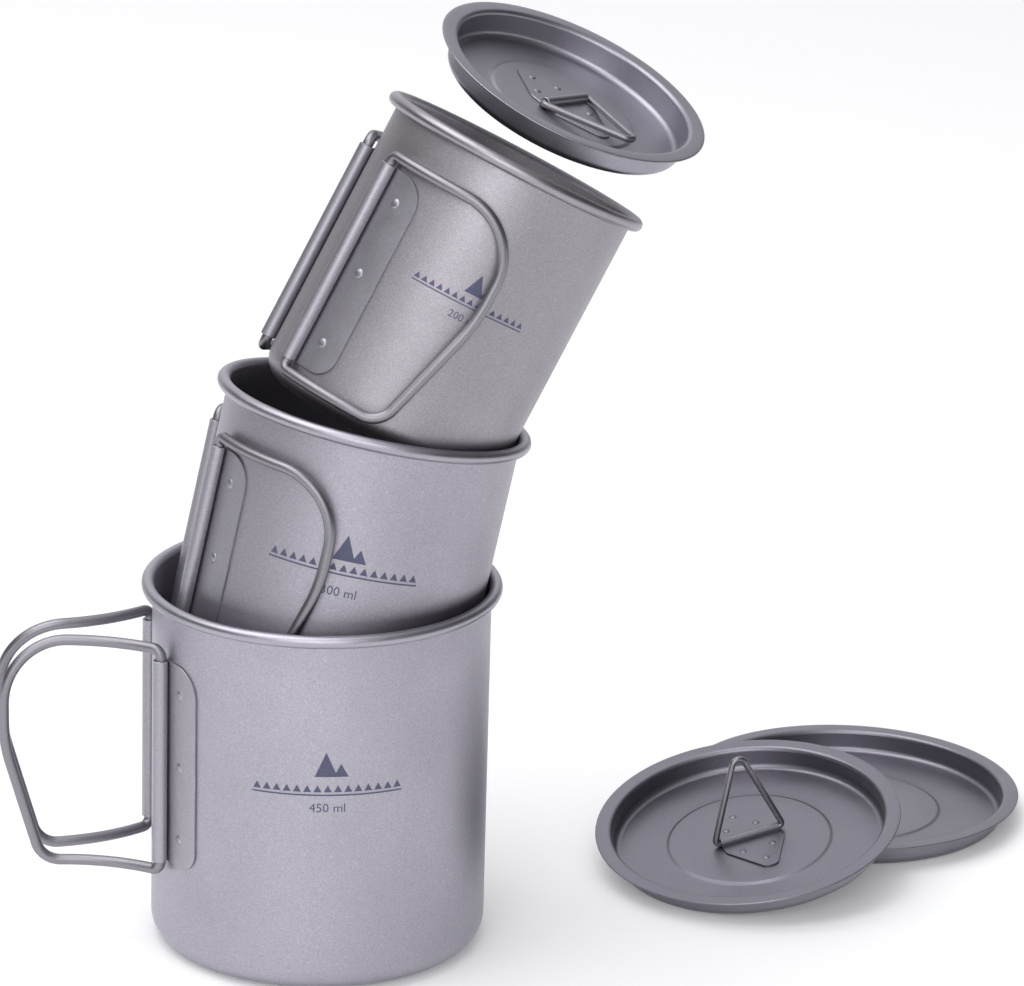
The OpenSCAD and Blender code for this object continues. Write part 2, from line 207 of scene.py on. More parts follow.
def seat(points, place):
    """Points turned and moved by a place, which is an origin and a matrix whose columns are its axes."""
    origin, axes = place
    return points @ axes.T + origin


def build(name, grids, place, worn=None):
    """One mesh object from grids of (points, closed_rows, closed_columns) in a local place. Repeated points
    are merged, and faces are turned outwards by the sign of the enclosed volume. Worn is one 0 to 1 value
    for every row of each grid, kept as a point attribute."""
    points, faces, wear, count = [], [], [], 0
    for number, (grid, closed_rows, closed_columns) in enumerate(grids):
        rows, columns = grid.shape[:2]
        points.append(seat(grid.reshape(-1, 3), place))
        faces.append(grid_faces(rows, columns, closed_rows, closed_columns, count))
        row_wear = np.zeros(rows) if worn is None else np.asarray(worn[number], float)
        wear.append(np.repeat(row_wear, columns))
        count += rows * columns
    mesh = bpy.data.meshes.new(name)
    mesh.from_pydata(np.concatenate(points).tolist(), [], np.concatenate(faces).tolist())
    mesh.attributes.new("wear", "FLOAT", "POINT").data.foreach_set("value", np.concatenate(wear))
    loose = bmesh.new()
    loose.from_mesh(mesh)
    bmesh.ops.remove_doubles(loose, verts=loose.verts, dist=1e-7)
    bmesh.ops.recalc_face_normals(loose, faces=loose.faces)
    if loose.calc_volume(signed=True) < 0:
        bmesh.ops.reverse_faces(loose, faces=loose.faces)
    loose.to_mesh(mesh)
    loose.free()
    mesh.shade_smooth()
    mesh.set_sharp_from_angle(angle=np.radians(38))
    piece = bpy.data.objects.new(name, mesh)
    bpy.context.scene.collection.objects.link(piece)
    return piece


def fit(piece, material, node):
    """Gives a finished piece its material and the body of the CAD node that it stands for, and hides that
    node.
    """
    piece.data.materials.append(material)
    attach(piece, frame["nodes"][node]["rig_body"])
    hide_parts(node)


def node_points(node):
    """Vertices of a CAD node as an array, in metres."""
    mesh = frame["nodes"][node].data
    points = np.empty(len(mesh.vertices) * 3)
    mesh.vertices.foreach_get("co", points)
    return points.reshape(-1, 3)


def unit(v):
    """A vector or rows of vectors, each divided by its length."""
    return v / np.linalg.norm(v, axis=-1, keepdims=True)


joints = {joint["name"]: joint for joint in frame["joints"]}


def turned_place(node, up, along):
    """Middle of a turned CAD node's lower end, and axes with +Z up and +X as near as it can be to along."""
    up = unit(up if up[2] > 0 else -up)
    right = unit(along - along.dot(up) * up)
    axes = np.stack([right, np.cross(up, right), up], 1)
    local = node_points(node) @ axes
    low, high = local.min(0), local.max(0)
    return axes @ np.array([(low[0] + high[0]) / 2, (low[1] + high[1]) / 2, low[2]]), axes


def sleeve_way(size, side, place):
    """Direction from a cup's axis to a hinge sleeve, which is the part of the bracket that stands out most,
    and the distance to the sleeve's far side. The direction is good to a fraction of a degree."""
    local = (node_points(f"{size}_{side}_bracket") - place[0]) @ place[1]
    reach = np.hypot(local[:, 0], local[:, 1])
    farthest = local[reach > reach.max() - 1e-6, :2].mean(0)
    return unit(place[1][:, :2] @ farthest), reach.max()


cup_axes = {"big": "big_front_handle_hinge", "medium": "medium_cup_lift", "small": "small_cup_lift"}


def cup_place(size):
    """Middle of a cup's base and its axes. +Z runs up the cup, and -X points between its two hinges."""
    node, up = f"{size}_cup", np.array(joints[cup_axes[size]]["axis"], float)
    rough = turned_place(node, up, np.array([1.0, 0, 0]))
    front_way, back_way = (sleeve_way(size, side, rough)[0] for side in ("front", "back"))
    return turned_place(node, up, -(front_way + back_way))


def cup_sizes(size, place):
    """Rim radius, height and outside radius of the wall, measured on the cup's CAD node."""
    local = (node_points(f"{size}_cup") - place[0]) @ place[1]
    r = np.hypot(local[:, 0], local[:, 1])
    height = local[:, 2].max()
    return r.max(), height, r[local[:, 2] < height / 2].max()


def cup_profile(rim_r, height, wall_r):
    """Outline of the sheet from under the base, up the outside, round the rolled bead and down inside."""
    inner = wall_r - sheet
    bead_at = (rim_r - bead_r, height - bead_r)
    outside = np.concatenate([
        [[0, 0]],
        straight((0, 0), (wall_r - base_corner_r, 0), 8),
        arc(wall_r - base_corner_r, base_corner_r, base_corner_r, -90, 0, 16),
        straight((wall_r, base_corner_r), (wall_r, bead_at[1]), 24),
        arc(*bead_at, bead_r - sheet, 180, -118, 24),
    ])
    inside = np.concatenate([
        arc(*bead_at, bead_r, -122, 180, 32),
        straight((inner, bead_at[1]), (inner, base_corner_r), 24),
        arc(wall_r - base_corner_r, base_corner_r, base_corner_r - sheet, 0, -90, 12),
        straight((wall_r - base_corner_r, sheet), (0, sheet), 8),
        [[0, sheet]],
    ])
    return np.concatenate([outside, inside])


def cup_wear(profile, rim_r, height, wall_r):
    """Wear on the top of the bead and the corner of the base, where the cup is handled and stood down. The
    corner's share is a bell curve exp(-t^2) of the height."""
    r, z = profile.T
    bead = np.clip((r - wall_r) / (rim_r - wall_r), 0, 1) * (z > height / 2)
    t = (z - 0.3 * base_corner_r) / (0.25 * base_corner_r)
    corner = np.exp(-(t**2)) * (r > wall_r - 0.7 * base_corner_r)
    return np.clip(0.75 * bead + 0.35 * corner, 0, 1)


def titanium(name, tone, roughness, grain, depth, speckle_and_painted_glint):
    """Bare titanium. A fine noise makes the blasted grain and its bump, a wide one drifts the tone and the
    gloss a little, sparse cells lighten the colour as painted glints (painted highlights), and the wear
    attribute darkens and smooths rubbed places."""
    material = bpy.data.materials.new(name)
    material.use_nodes = True
    nodes, links = material.node_tree.nodes, material.node_tree.links
    shader = nodes["Principled BSDF"]
    shader.inputs["Metallic"].default_value = 1.0
    place = nodes.new("ShaderNodeTexCoord")

    def noise(scale, detail):
        """Smooth random field on Object coordinates, with one cell in each 1 / scale metres."""
        node = nodes.new("ShaderNodeTexNoise")
        node.inputs["Scale"].default_value = scale
        node.inputs["Detail"].default_value = detail
        links.new(place.outputs["Object"], node.inputs["Vector"])
        return node.outputs["Fac"]

    def spread(value, low, high, to_low, to_high):
        """Value carried from one range to another and held at its ends."""
        node = nodes.new("ShaderNodeMapRange")
        links.new(value, node.inputs["Value"])
        limits = {"From Min": low, "From Max": high, "To Min": to_low, "To Max": to_high}
        for socket, number in limits.items():
            node.inputs[socket].default_value = number
        return node.outputs["Result"]

    def calculate(operation, first, second):
        """One sum or product of a value with another value or a number."""
        node = nodes.new("ShaderNodeMath")
        node.operation = operation
        links.new(first, node.inputs[0])
        if isinstance(second, float):
            node.inputs[1].default_value = second
        else:
            links.new(second, node.inputs[1])
        return node.outputs[0]

    def mixed(part, first, second):
        """Colour between two colours, each a colour or an output."""
        node = nodes.new("ShaderNodeMix")
        node.data_type = "RGBA"
        links.new(part, node.inputs["Factor"])
        for socket, colour in ((node.inputs[6], first), (node.inputs[7], second)):
            if isinstance(colour, tuple):
                socket.default_value = (*colour, 1)
            else:
                links.new(colour, socket)
        return node.outputs[2]

    fine = noise(grain, 2)
    wide = noise(38, 3)
    dust = noise(260, 4)
    # Sparse Voronoi cells lift the base colour up to 1.6 times the tone: painted glints, that is highlights
    # painted into the colour. The same speckle amount sets both the real grain's spread and the strength of
    # these painted glints.
    painted_glint_cells = nodes.new("ShaderNodeTexVoronoi")
    painted_glint_cells.inputs["Scale"].default_value = 0.8 * grain
    links.new(place.outputs["Object"], painted_glint_cells.inputs["Vector"])
    painted_glint_channel = nodes.new("ShaderNodeSeparateColor")
    links.new(painted_glint_cells.outputs["Color"], painted_glint_channel.inputs[0])
    rubbed = nodes.new("ShaderNodeAttribute")
    rubbed.attribute_name = "wear"
    polish = calculate("MULTIPLY", rubbed.outputs["Fac"], spread(dust, 0.35, 0.62, 0.55, 1.0))

    def shade(part):
        """The tone made lighter or darker by a factor."""
        return tuple(min(1, part * c) for c in tone)

    grains = mixed(spread(fine, 0.3, 0.7, 0.0, 1.0), shade(1 - speckle_and_painted_glint), shade(1 + speckle_and_painted_glint))
    clouds = mixed(spread(wide, 0.3, 0.7, 0.0, 0.22), grains, shade(0.78))
    painted_glints = mixed(spread(painted_glint_channel.outputs[0], 0.94, 1.0, 0.0, 1.5 * speckle_and_painted_glint), clouds, shade(1.6))
    colour = mixed(polish, painted_glints, shade(0.88))
    links.new(colour, shader.inputs["Base Color"])

    drift = spread(wide, 0.3, 0.7, roughness - 0.03, roughness + 0.04)
    matt = calculate("ADD", drift, spread(dust, 0.4, 0.7, 0.0, 0.03))
    links.new(calculate("SUBTRACT", matt, calculate("MULTIPLY", polish, 0.16)), shader.inputs["Roughness"])
    bump = nodes.new("ShaderNodeBump")
    bump.inputs["Strength"].default_value = 0.5
    bump.inputs["Distance"].default_value = depth
    links.new(fine, bump.inputs["Height"])
    links.new(bump.outputs["Normal"], shader.inputs["Normal"])
    return material


# The three cups are one titanium. Their different tones are lit and shaded copies of it, and the small cup's
# darker tone is painted shade.
cup_tones_with_painted_shade = {"big": (0.44, 0.423, 0.478), "medium": (0.425, 0.403, 0.455), "small": (0.38, 0.357, 0.389)}
cups = {}
for size, tone in cup_tones_with_painted_shade.items():
    blasted_with_painted_shade = titanium(f"{size} cup blasted titanium", tone, 0.46, 3400, 0.00005, 0.16)
    place = cup_place(size)
    rim_r, height, wall_r = cup_sizes(size, place)
    profile = cup_profile(rim_r, height, wall_r)
    worn = cup_wear(profile, rim_r, height, wall_r)
    cup = build(f"{size}_drawn_cup", [(turned(profile), False, True)], place, [worn])
    fit(cup, blasted_with_painted_shade, f"{size}_cup")
    cups[size] = {"place": place, "wall_r": wall_r}


# ---- Printed marks ----
# Each cup carries a small dark blue-grey print on its front: two plain peaks, a border row of small
# triangles over a rule, and the capacity. The print is one thin film that follows the round wall.

print_ink = bpy.data.materials.new("printed ink")
print_ink.use_nodes = True
ink_nodes, ink_links = print_ink.node_tree.nodes, print_ink.node_tree.links
ink_place = ink_nodes.new("ShaderNodeTexCoord")
ink_noise = ink_nodes.new("ShaderNodeTexNoise")
ink_noise.inputs["Scale"].default_value = 2600
ink_mix = ink_nodes.new("ShaderNodeMix")
ink_mix.data_type = "RGBA"
ink_mix.inputs[6].default_value = (0.045, 0.05, 0.11, 1)
ink_mix.inputs[7].default_value = (0.10, 0.105, 0.17, 1)
ink_links.new(ink_place.outputs["Object"], ink_noise.inputs["Vector"])
ink_links.new(ink_noise.outputs["Fac"], ink_mix.inputs["Factor"])
ink_links.new(ink_mix.outputs[2], ink_nodes["Principled BSDF"].inputs["Base Color"])
ink_nodes["Principled BSDF"].inputs["Roughness"].default_value = 0.5

film_lift = 0.00003


def strip(left, right, steps=2):
    """Flat ribbon between two lines of points, with its cells spaced evenly from the left to the right."""
    part = np.linspace(0, 1, steps + 1)[None, :, None]
    return np.array(left)[:, None] * (1 - part) + np.array(right)[:, None] * part


def peak(middle, foot, width, height):
    """Solid triangle as a strip whose two sides meet at the top."""
    up = np.linspace(0, 1, 6)
    left = np.stack([middle - width / 2 * (1 - up), foot + height * up], 1)
    right = np.stack([middle + width / 2 * (1 - up), foot + height * up], 1)
    return strip(left, right, 6)


def border(width, height, count):
    """Row of small solid triangles of one size across a width, with a thin rule under them."""
    pitch = width / count
    middles = -width / 2 + (np.arange(count) + 0.5) * pitch
    row = [peak(middle, 0.35 * height, 0.8 * pitch, 0.65 * height) for middle in middles]
    x = np.linspace(-width / 2, width / 2, 40)
    rule = strip(np.stack([x, 0 * x], 1), np.stack([x, 0 * x + 0.14 * height], 1), 1)
    return row + [rule]


def wrap(x, z, wall_r, azimuth):
    """Point x along and z up a print goes to azimuth + x / radius and height z, just off the wall."""
    a = azimuth + x / wall_r
    r = wall_r + film_lift
    return np.stack([r * np.cos(a), r * np.sin(a), z], -1)


def lettering(words, height):
    """Vertices and faces of a short line of plain letters, centred on x and standing on z = 0."""
    curve = bpy.data.curves.new("lettering", "FONT")
    curve.body = words
    curve.size = height * 1.4
    curve.align_x = "CENTER"
    curve.resolution_u = 3
    drawn = bpy.data.objects.new("lettering", curve)
    bpy.context.scene.collection.objects.link(drawn)
    mesh = bpy.data.meshes.new_from_object(drawn)
    flat = np.array([v.co[:2] for v in mesh.vertices])
    faces = [tuple(polygon.vertices) for polygon in mesh.polygons]
    bpy.data.objects.remove(drawn)
    bpy.data.curves.remove(curve)
    bpy.data.meshes.remove(mesh)
    return flat, faces


def print_on(size, azimuth, line_z, words_z, peak_z, width, words):
    """Joins the peaks, the border and the capacity in one film on a cup's wall, facing outwards."""
    wall_r, place = cups[size]["wall_r"], cups[size]["place"]
    azimuth = np.radians(azimuth)
    points, faces, count = [], [], 0
    tall_peak = peak(-0.012 * width, 0, 0.15 * width, 0.17 * width)
    low_peak = peak(0.085 * width, 0, 0.1 * width, 0.09 * width)
    shapes = [(shape, line_z) for shape in border(width, 0.075 * width, 15)]
    shapes += [(tall_peak, peak_z), (low_peak, peak_z)]
    for shape, z in shapes:
        flat = shape.reshape(-1, 2)
        points.append(wrap(flat[:, 0], flat[:, 1] + z, wall_r, azimuth))
        faces += grid_faces(*shape.shape[:2], False, False, count).tolist()
        count += len(flat)
    flat, letter_faces = lettering(words, 0.062 * width)
    points.append(wrap(flat[:, 0], flat[:, 1] + words_z, wall_r, azimuth))
    faces += [[count + v for v in face] for face in letter_faces]
    mesh = bpy.data.meshes.new(f"{size}_print")
    mesh.from_pydata(seat(np.concatenate(points), place).tolist(), [], faces)
    film = bmesh.new()
    film.from_mesh(mesh)
    film.faces.ensure_lookup_table()
    film.normal_update()
    axis = Vector(place[1][:, 2])
    for face in film.faces:
        out = face.calc_center_median() - Vector(place[0])
        out -= out.dot(axis) * axis
        if face.normal.dot(out) < 0:
            face.normal_flip()
    film.to_mesh(mesh)
    film.free()
    mesh.materials.append(print_ink)
    piece = bpy.data.objects.new(f"{size}_print", mesh)
    bpy.context.scene.collection.objects.link(piece)
    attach(piece, f"{size}_cup_body")


print_on("big", 265.6, 0.0500, 0.0460, 0.0547, 0.0356, "450 ml")
print_on("medium", 266.4, 0.0478, 0.0428, 0.0513, 0.0360, "300 ml")
print_on("small", 262.6, 0.0377, 0.0341, 0.0408, 0.0293, "200 ml")


# ---- Hinge brackets ----
# Each handle turns in a bracket bent from one strip of sheet. One edge is rolled into a sleeve round the
# wire, and the rest is a plate with round free corners that hugs the wall and is spot-welded to it.

bracket_t = 0.00045
bracket_w = 0.0118
wall_gap = 0.00005
plate_top_r = 0.007
plate_bottom_r = 0.005
sleeve_wrap = 302


def half_angle():
    """Half the angle between the big cup's two hinges, seen along its axis. All the cups have the same."""
    origin, axes = cups["big"]["place"]
    pins = [np.array(joints[f"big_{side}_handle_hinge"]["pos_m"]) - origin for side in ("front", "back")]
    front_way, back_way = (unit((pin @ axes)[:2]) for pin in pins)
    return np.arccos(front_way @ back_way) / 2


def hinge_place(size, side):
    """A hinge's lower end and axes: +X out of the cup's wall, +Z up the pin. Also the pin's distance from
    the cup's axis and the sleeve's length, measured on the bracket's CAD node."""
    origin, axes = cups[size]["place"]
    up = axes[:, 2]
    rough, far = sleeve_way(size, side, cups[size]["place"])
    turn = np.copysign(half_angle(), rough.dot(axes[:, 1]))
    out = axes @ np.array([-np.cos(turn), np.sin(turn), 0])
    hinge_r = (far + cups[size]["wall_r"] + wall_gap) / 2
    heights = (node_points(f"{size}_{side}_bracket") - origin) @ up
    hinge_axes = np.stack([out, np.cross(up, out), up], 1)
    return (origin + hinge_r * out + heights.min() * up, hinge_axes), hinge_r, np.ptp(heights)


def bracket_sheet(sign, wall_r, hinge_r, length):
    """Middle surface of the bracket. Its section runs along the wall from the free edge to the pin and then
    round the sleeve, and each place on it spans the plate's height there, less the round corners."""
    plate_r = wall_r + wall_gap + bracket_t / 2
    sleeve_r = hinge_r - plate_r
    along = bracket_w * np.cos(np.linspace(0, np.pi / 2, 26))[:-1]
    a = np.arcsin(along / plate_r)
    plate = np.stack([plate_r * np.cos(a) - hinge_r, sign * plate_r * np.sin(a)], 1)
    round_sleeve = np.radians(180 + sign * np.linspace(0, sleeve_wrap, 40))
    sleeve = sleeve_r * np.stack([np.cos(round_sleeve), np.sin(round_sleeve)], 1)
    section = np.concatenate([plate, sleeve])
    along = np.concatenate([along, np.zeros(len(sleeve))])
    past_top = np.clip(along - (bracket_w - plate_top_r), 0, None)
    past_bottom = np.clip(along - (bracket_w - plate_bottom_r), 0, None)
    top = length - plate_top_r + np.sqrt(np.clip(plate_top_r**2 - past_top**2, 0, None))
    bottom = plate_bottom_r - np.sqrt(np.clip(plate_bottom_r**2 - past_bottom**2, 0, None))
    part = np.linspace(0, 1, 33)
    z = bottom[:, None] + part[None, :] * (top - bottom)[:, None]
    return np.concatenate([np.repeat(section[:, None], len(part), 1), z[:, :, None]], 2)


def thicken(grid, thickness):
    """Closed sheet round a middle surface: both faces lie half a thickness off it along its own normal, and
    four rounded edges join them."""
    du = np.gradient(grid, axis=0)
    dv = np.gradient(grid, axis=1)
    normal = unit(np.cross(du, dv))
    front = grid + normal * thickness / 2
    back = grid - normal * thickness / 2
    rim_front = np.concatenate([front[0], front[1:, -1], front[-1, -2::-1], front[-2:0:-1, 0]])
    rim_back = np.concatenate([back[0], back[1:, -1], back[-1, -2::-1], back[-2:0:-1, 0]])
    rim_middle = (rim_front + rim_back) / 2
    inward = np.concatenate([grid[1], grid[1:, -2], grid[-2, -2::-1], grid[-2:0:-1, 1]]) - rim_middle
    outward = -unit(inward) * 0.22 * thickness
    near_front = (3 * rim_front + rim_back) / 4 + outward
    near_back = (rim_front + 3 * rim_back) / 4 + outward
    rim = np.stack([rim_front, near_front, near_back, rim_back])
    return [(front, False, False), (back[::-1], False, False), (rim, False, True)]


satin = titanium("satin titanium sheet", (0.41, 0.394, 0.438), 0.44, 3400, 0.00004, 0.13)

hinges = {}
for size in ("big", "medium", "small"):
    for side, sign in (("front", 1), ("back", -1)):
        place, hinge_r, length = hinge_place(size, side)
        grid = bracket_sheet(sign, cups[size]["wall_r"], hinge_r, length)
        bracket = build(f"{size}_{side}_hinge_bracket", thicken(grid, bracket_t), place)
        fit(bracket, satin, f"{size}_{side}_bracket")
        hinges[size, side] = {"place": place, "hinge_r": hinge_r, "length": length, "sign": sign}


# ---- Spot welds ----
# Three spot welds hold each bracket to the wall. Each shows as a low round button of the same finish as the
# sheet round it.

weld_r = 0.0012
weld_rise = 0.00035
weld_along = 0.0062
weld_pitch = 0.018


def button(radius, rise, depth, steps=8):
    """Low dome on a short shank: height rise * (1 - (r / radius)^2)^0.6 over the sheet, closed below."""
    r = radius * np.sin(np.linspace(0, np.pi / 2, steps))
    dome = np.stack([r, rise * (1 - (r / radius) ** 2) ** 0.6], 1)
    return turned(np.concatenate([dome, [[radius, -depth], [0, -depth]]]), 28)


def on_wall(grid, azimuth, height, radius, centre_r):
    """A button turned to stand out of the wall at an azimuth and a height, in a hinge's frame."""
    out = np.array([np.cos(azimuth), np.sin(azimuth), 0])
    around = np.array([-np.sin(azimuth), np.cos(azimuth), 0])
    at = radius * out + np.array([-centre_r, 0, height])
    return grid @ np.stack([around, [0, 0, 1], out]) + at


for (size, side), hinge in hinges.items():
    wall_r = cups[size]["wall_r"]
    azimuth = hinge["sign"] * weld_along / wall_r
    face_r = wall_r + wall_gap + bracket_t
    dome = button(weld_r, weld_rise, 0.8 * bracket_t)
    heights = [hinge["length"] / 2 + i * weld_pitch for i in (-1, 0, 1)]
    spots = [(on_wall(dome, azimuth, z, face_r, hinge["hinge_r"]), False, True) for z in heights]
    worn = [np.full(len(dome), 0.15)] * len(spots)
    welds = build(f"{size}_{side}_spot_welds", spots, hinge["place"], worn)
    fit(welds, satin, f"{size}_{side}_bracket_welds")


# ---- Handles ----
# Each handle is one length of round wire bent into a loop. Its straight side turns in the sleeve, and the
# loop is curved to lie round the wall when it is folded in.

handle_wire_r = 0.0013
loop_reach = 0.0382
pin_past = 0.0004
loop_bend_r = 0.0022
path_step = 0.0012
drawn_wire = titanium("drawn titanium wire", (0.29, 0.278, 0.305), 0.44, 3000, 0.00002, 0.09)


def rounded_loop(corners, corner_steps, spacing):
    """Closed path through corners of (x, y, radius): each corner is an arc that meets both its sides, and
    the sides between are filled in with evenly spaced points."""
    at = np.array([c[:2] for c in corners], float)
    radius = np.array([c[2] for c in corners], float)
    before, after = unit(np.roll(at, 1, 0) - at), unit(np.roll(at, -1, 0) - at)
    half = np.arccos(np.clip((before * after).sum(1), -1, 1)) / 2
    centre = at + (radius / np.sin(half))[:, None] * unit(before + after)
    first = at + (radius / np.tan(half))[:, None] * before
    last = at + (radius / np.tan(half))[:, None] * after
    start = np.arctan2(*(first - centre).T[::-1])
    turn = np.arctan2(*(last - centre).T[::-1]) - start
    turn = (turn + np.pi) % (2 * np.pi) - np.pi
    path = []
    for i in range(len(at)):
        a = start[i] + turn[i] * np.linspace(0, 1, corner_steps + 1)
        path.append(centre[i] + radius[i] * np.stack([np.cos(a), np.sin(a)], 1))
        following = first[(i + 1) % len(at)]
        gap = np.linalg.norm(following - last[i])
        path.append(straight(last[i], following, max(1, int(np.ceil(gap / spacing)))))
    return np.concatenate(path)


def wire(path, out, radius, sides=24):
    """Closed tube: each point of the path carries a circle, cos k along tangent x out and sin k along out."""
    tangent = unit(np.roll(path, -1, 0) - np.roll(path, 1, 0))
    across = unit(np.cross(tangent, out))
    k = np.linspace(0, 2 * np.pi, sides, endpoint=False)
    circle = np.cos(k)[None, :, None] * across[:, None] + np.sin(k)[None, :, None] * out[:, None]
    return path[:, None] + radius * circle


def handle_path(length, hinge_r, sign):
    """The folded loop: its flat outline wrapped on the cylinder through the pin. Also its outward rows."""
    top = length + pin_past + loop_bend_r
    bottom = -pin_past - loop_bend_r
    flat = rounded_loop(
        [(0, top, loop_bend_r), (loop_reach, top, 0.015), (loop_reach, 0.56 * length, 0.04),
         (0.765 * loop_reach, bottom, 0.006), (0, bottom, loop_bend_r)],
        18,
        path_step,
    )
    a = sign * flat[:, 0] / hinge_r
    out = np.stack([np.cos(a), np.sin(a), np.zeros(len(a))], 1)
    from_pin = np.stack([np.full(len(a), -hinge_r), np.zeros(len(a)), flat[:, 1]], 1)
    return out * hinge_r + from_pin, out


def tip_way(points):
    """Angle about +Z, seen from the pin, of the middle of the points that reach farthest from it."""
    reach = np.hypot(points[:, 0], points[:, 1])
    tip = points[reach > 0.985 * reach.max()].mean(0)
    return np.arctan2(tip[1], tip[0])


def turn_about(axis, angle):
    """Matrix that turns a column vector about X or Z by an angle."""
    return np.array(Matrix.Rotation(angle, 3, axis))


for (size, side), hinge in hinges.items():
    origin, axes = hinge["place"]
    path, out = handle_path(hinge["length"], hinge["hinge_r"], hinge["sign"])
    as_placed = (node_points(f"{size}_{side}_handle") - origin) @ axes
    opened = turn_about("Z", tip_way(as_placed) - tip_way(path))
    tube = wire(path @ opened.T, out @ opened.T, handle_wire_r)
    reach = np.hypot(path[:, 0], path[:, 1])
    wear = 0.25 + 0.35 * np.clip(reach / reach.max() - 0.8, 0, 0.2) / 0.2
    handle = build(f"{size}_{side}_wire_handle", [(tube, True, True)], hinge["place"], [wear])
    fit(handle, drawn_wire, f"{size}_{side}_handle")


# ---- Lids ----
# Each lid is pressed from the same sheet: a shallow pan that drops into the mouth of its cup, with a flat
# flange that rests on the bead and a low round step in the floor that stiffens it.

lid_step_h = 0.0004
lid_step_slope = 0.0012
lid_step_part = 0.52
pan_corner_r = 0.002
flange_bend_r = 0.0008
lid_edge_w = 0.0008


def lid_place(size):
    """Middle of a lid's underside and its axes: +Z is the axis of the turned pan, along which its points
    spread least, and +X is its ring's hinge."""
    points = node_points(f"{size}_lid")
    up = np.linalg.eigh(np.cov((points - points.mean(0)).T))[1][:, 0]
    return turned_place(f"{size}_lid", up, np.array(joints[f"{size}_ring_hinge"]["axis"], float))


def lid_profile(flange_r, depth, pan_r):
    """Outline of the sheet from under the floor, out round the flange's edge and back over the floor. The
    step's slope is the smooth curve 3 t^2 - 2 t^3."""
    t = np.linspace(0, 1, 9)
    ease = 3 * t**2 - 2 * t**3
    step_r = lid_step_part * flange_r
    bend = (pan_r + flange_bend_r, depth - sheet - flange_bend_r)
    under_step = np.stack([step_r + lid_step_slope * t, lid_step_h * (1 - ease)], 1)
    floor_end = (pan_r - pan_corner_r, 0)
    outside = np.concatenate([
        [[0, lid_step_h]],
        straight((0, lid_step_h), under_step[0], 6),
        under_step,
        straight(under_step[-1], floor_end, 6),
        arc(pan_r - pan_corner_r, pan_corner_r, pan_corner_r, -90, 0, 10),
        arc(*bend, flange_bend_r, 180, 90, 8),
        straight((bend[0], depth - sheet), (flange_r - sheet / 2, depth - sheet), 3),
        arc(flange_r - sheet / 2, depth - sheet / 2, sheet / 2, -90, 90, 6),
    ])
    inside = np.concatenate([
        straight((flange_r - sheet / 2, depth), (bend[0], depth), 3),
        arc(*bend, flange_bend_r + sheet, 90, 180, 10),
        arc(pan_r - pan_corner_r, pan_corner_r, pan_corner_r - sheet, 0, -90, 8),
        straight((floor_end[0], sheet), under_step[-1] + [0, sheet], 6),
        (under_step + [0, sheet])[::-1],
        straight(under_step[0] + [0, sheet], (0, lid_step_h + sheet), 6),
        [[0, lid_step_h + sheet]],
    ])
    return np.concatenate([outside, inside])


# The three lids are one pressed titanium. Their different tones are lit and shaded copies of it, and the
# small lid's lighter tone is painted light.
lid_tones_with_painted_light = {"big": (0.25, 0.241, 0.278), "medium": (0.25, 0.241, 0.278), "small": (0.35, 0.339, 0.385)}
lid_finish_and_painted_light = {
    size: titanium(f"{size} lid pressed titanium", tone, 0.38, 2400, 0.00002, 0.06)
    for size, tone in lid_tones_with_painted_light.items()
}

lids = {}
for size in ("big", "medium", "small"):
    place = lid_place(size)
    local = (node_points(f"{size}_lid") - place[0]) @ place[1]
    r = np.hypot(local[:, 0], local[:, 1])
    depth = local[:, 2].max()
    profile = lid_profile(r.max(), depth, r[local[:, 2] < depth / 2].max())
    edge = np.clip((profile[:, 0] - r.max()) / lid_edge_w + 1, 0, 1)
    lid = build(f"{size}_pressed_lid", [(turned(profile), False, True)], place, [0.9 * edge])
    fit(lid, lid_finish_and_painted_light[size], f"{size}_lid")
    lids[size] = place


# ---- Lid clips ----
# A long six-sided plate with a half-round channel pressed across its middle holds the ring's pin down on
# the lid's floor. Three spot welds on each side of the channel fix it.

clip_len = 0.029
clip_w = 0.0155
clip_shoulder = 0.004
clip_tip = 0.0016
clip_t = 0.0004
clip_end_r = 0.001
ring_wire_r = 0.0008
clip_play = 0.00008
clip_weld_r = 0.0009
clip_weld_rise = 0.00025
clip_weld_spots = ((-0.004, 0.0054), (0.004, 0.0054), (0, 0.0106))
floor_top = lid_step_h + sheet
pin_height = floor_top + ring_wire_r + clip_play


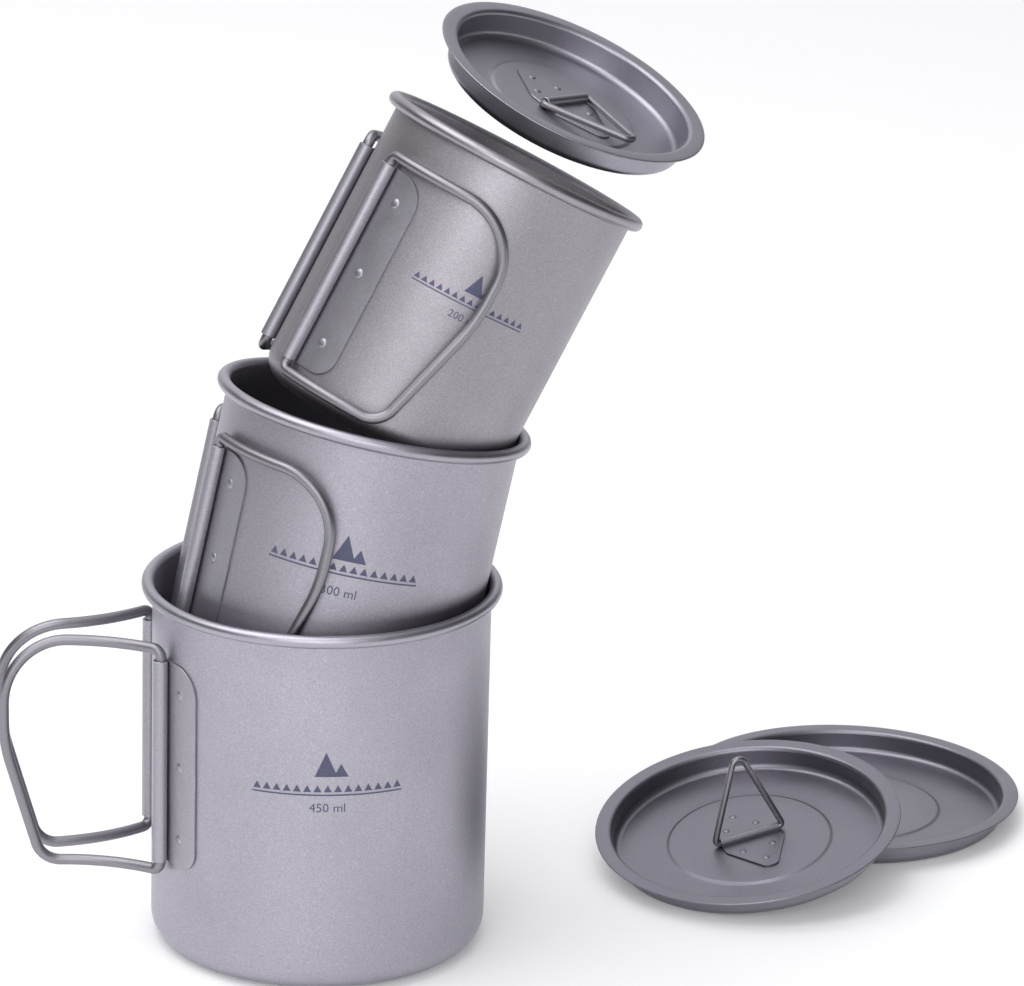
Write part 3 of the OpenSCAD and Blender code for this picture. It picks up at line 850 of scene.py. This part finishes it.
def clip_sheet():
    """Middle surface of the clip. Its section runs along Y: flat, up over the pin as a half circle of the
    channel's middle radius, and flat again. Its half-width follows the six-sided outline with round ends."""
    channel_r = ring_wire_r + clip_play + clip_t / 2
    flat_z = floor_top + clip_t / 2
    rise = pin_height - flat_z
    out_to = np.concatenate([
        clip_len / 2 - clip_end_r * (1 - np.cos(np.linspace(0, np.pi / 2, 9))),
        np.linspace(clip_len / 2 - clip_end_r, clip_shoulder, 12)[1:],
        np.linspace(clip_shoulder, channel_r + 0.0002, 8)[1:],
    ])
    half_arch = np.radians(np.linspace(0, 90, 12))
    y = np.concatenate([out_to, [channel_r + 0.00005, channel_r], channel_r * np.cos(half_arch)])
    z = np.concatenate([
        np.full(len(out_to), flat_z),
        [flat_z + 0.00006, flat_z + 0.0002],
        flat_z + rise + channel_r * np.sin(half_arch),
    ])
    lean = np.clip((np.abs(y) - clip_shoulder) / (clip_len / 2 - clip_shoulder), 0, 1)
    half_w = clip_w / 2 + (clip_tip - clip_w / 2) * lean
    past = np.clip(y - (clip_len / 2 - clip_end_r), 0, None) / clip_end_r
    half_w = half_w - clip_end_r * (1 - np.sqrt(np.clip(1 - past**2, 0, None)))
    y, z, half_w = (np.concatenate([v, w[-2::-1]]) for v, w in ((y, -y), (z, z), (half_w, half_w)))
    part = np.linspace(-1, 1, 17)
    grid = np.empty((len(y), len(part), 3))
    grid[:, :, 0] = half_w[:, None] * part
    grid[:, :, 1] = y[:, None]
    grid[:, :, 2] = z[:, None]
    return grid


for size, place in lids.items():
    clip = build(f"{size}_ring_clip", thicken(clip_sheet(), clip_t), place)
    fit(clip, lid_finish_and_painted_light[size], f"{size}_lid_clip")
    dome = button(clip_weld_r, clip_weld_rise, 0.8 * clip_t)
    at = [np.array([x, way * y, floor_top + clip_t]) for way in (-1, 1) for x, y in clip_weld_spots]
    spots = [(dome + spot, False, True) for spot in at]
    welds = build(f"{size}_ring_clip_welds", spots, place, [np.full(len(dome), 0.5)] * len(spots))
    fit(welds, lid_finish_and_painted_light[size], f"{size}_lid_clip_welds")


# ---- Lid rings ----
# Each lid is lifted by a triangle of thin wire. Its straight base turns in the clip's channel, and its tip
# is rounded for a finger or a hook. The apex is where its two sides would meet without the rounding.

ring_base = 0.0186
ring_reach = 0.0212
ring_corner_r = 0.001
ring_tip_r = 0.0018
ring_apex = ring_reach + ring_tip_r * (1 / np.sin(np.arctan(ring_base / 2 / ring_reach)) - 1)
ring_corners = [
    (ring_base / 2, 0, ring_corner_r),
    (0, ring_apex, ring_tip_r),
    (-ring_base / 2, 0, ring_corner_r),
]

for size, (origin, axes) in lids.items():
    pin = np.array(joints[f"{size}_ring_hinge"]["pos_m"])
    cad = (node_points(f"{size}_lid_ring") - pin) @ axes
    far = cad[np.hypot(cad[:, 1], cad[:, 2]) > ring_reach - ring_corner_r].mean(0)
    raised = turn_about("X", np.arctan2(far[2], far[1]))
    flat = rounded_loop(ring_corners, 14, path_step)
    path = np.concatenate([flat, np.zeros((len(flat), 1))], 1) @ raised.T
    out = np.repeat((raised @ [0, 0, 1])[None], len(path), 0)
    wear = 0.2 + 0.6 * np.clip(flat[:, 1] / ring_reach, 0, 1)
    tube = wire(path, out, ring_wire_r, 20)
    ring = build(f"{size}_lifting_ring", [(tube, True, True)], (pin, axes), [wear])
    fit(ring, drawn_wire, f"{size}_lid_ring")
